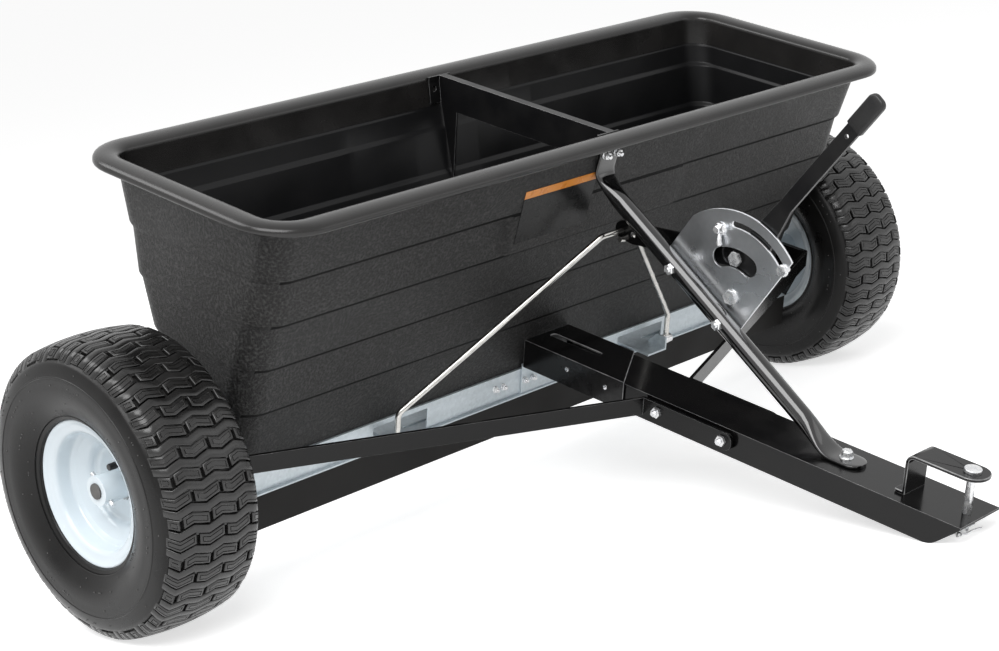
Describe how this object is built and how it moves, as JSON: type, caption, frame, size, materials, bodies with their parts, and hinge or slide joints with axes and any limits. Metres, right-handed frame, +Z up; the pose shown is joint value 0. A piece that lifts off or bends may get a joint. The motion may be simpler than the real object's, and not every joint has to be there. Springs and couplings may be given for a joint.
{
  "type": "tow-behind fertilizer drop spreader",
  "caption": "Two-wheeled drop spreader with a long tub hopper, lever-worked shutter, braced channel tongue and clevis hitch.",
  "frame": {"origin": "on the ground under the middle of the parked machine, which stands on its two wheels and the toe of its tongue", "axes": "+X to the machine's right along the axle, +Y to the rear, +Z up"},
  "size_m": [1.4588, 0.9776, 0.5869],
  "materials": {
    "hopper_plastic": "satin, fine pebble grain",
    "frame_black": "gloss black powder coat",
    "galvanised": "matt galvanised sheet",
    "skirt_grey": "matt dark grey",
    "bearing_plastic": "matt",
    "zinc_plate": "bright zinc plate",
    "rim_paint": "pale blue-white gloss paint",
    "tyre_rubber": "matt rubber",
    "soft_rubber": "matt"
  },
  "bodies": {
    "frame": {"hopper": "hopper_plastic", "cross_bar": "frame_black", "trough_rail_front": "galvanised", "trough_rail_rear": "galvanised", "outlet_plate_left": "galvanised", "outlet_plate_right": "galvanised", "skirt_front": "skirt_grey", "skirt_rear": "skirt_grey", "end_plate_left": "frame_black", "end_plate_right": "frame_black", "bearing_left": "bearing_plastic", "bearing_right": "bearing_plastic", "brace_left": "frame_black", "brace_right": "frame_black", "tongue": "frame_black", "tongue_sleeve": "frame_black", "tongue_bracket": "frame_black", "hitch_strap": "frame_black", "hitch_pin": "zinc_plate", "stay_tube": "frame_black", "quadrant_plate": "zinc_plate", "pivot_bolt": "zinc_plate", "stop_bolt": "zinc_plate", "wing_bolt": "zinc_plate"},
    "drive_axle": {"axle": "zinc_plate", "agitator": "zinc_plate", "drive_pin": "zinc_plate", "tyre_left": "tyre_rubber", "rim_left": "rim_paint", "hub_left": "rim_paint", "valve_left": "soft_rubber", "spacer_left": "zinc_plate", "spacer_right": "zinc_plate", "end_washer": "zinc_plate"},
    "wheel_right": {"tyre_right": "tyre_rubber", "rim_right": "rim_paint", "hub_right": "rim_paint", "valve_right": "soft_rubber"},
    "lever": {"lever_bar": "frame_black", "lever_grip": "soft_rubber", "link_bolt": "zinc_plate"},
    "gate": {"link_bar": "frame_black", "rod_left": "zinc_plate", "rod_right": "zinc_plate", "rod_clamp_left": "zinc_plate", "rod_clamp_right": "zinc_plate", "shutter_ear_left": "galvanised", "shutter_ear_right": "galvanised", "shutter_left": "galvanised", "shutter_right": "galvanised"}
  },
  "joints": [
    {"name": "axle_turn", "type": "hinge", "parent": "frame", "child": "drive_axle", "pos_m": [0, 0.30131, 0.1875], "axis": [1, 0, 0], "continuous": true},
    {"name": "right_wheel_turn", "type": "hinge", "parent": "frame", "child": "wheel_right", "pos_m": [0.65615, 0.30131, 0.1875], "axis": [1, 0, 0], "continuous": true},
    {"name": "lever_swing", "type": "hinge", "parent": "frame", "child": "lever", "pos_m": [0, -0.11905, 0.27486], "axis": [1, 0, 0], "range_deg": [-17, 13]},
    {"name": "gate_slide", "type": "slide", "parent": "frame", "child": "gate", "axis": [0, -0.964, -0.2659], "range_m": [-0.01568, 0.01201]}
  ],
  "couplings": [
    {"joint": "gate_slide", "follows": "lever_swing", "m_per_rad": 0.0525}
  ]
}
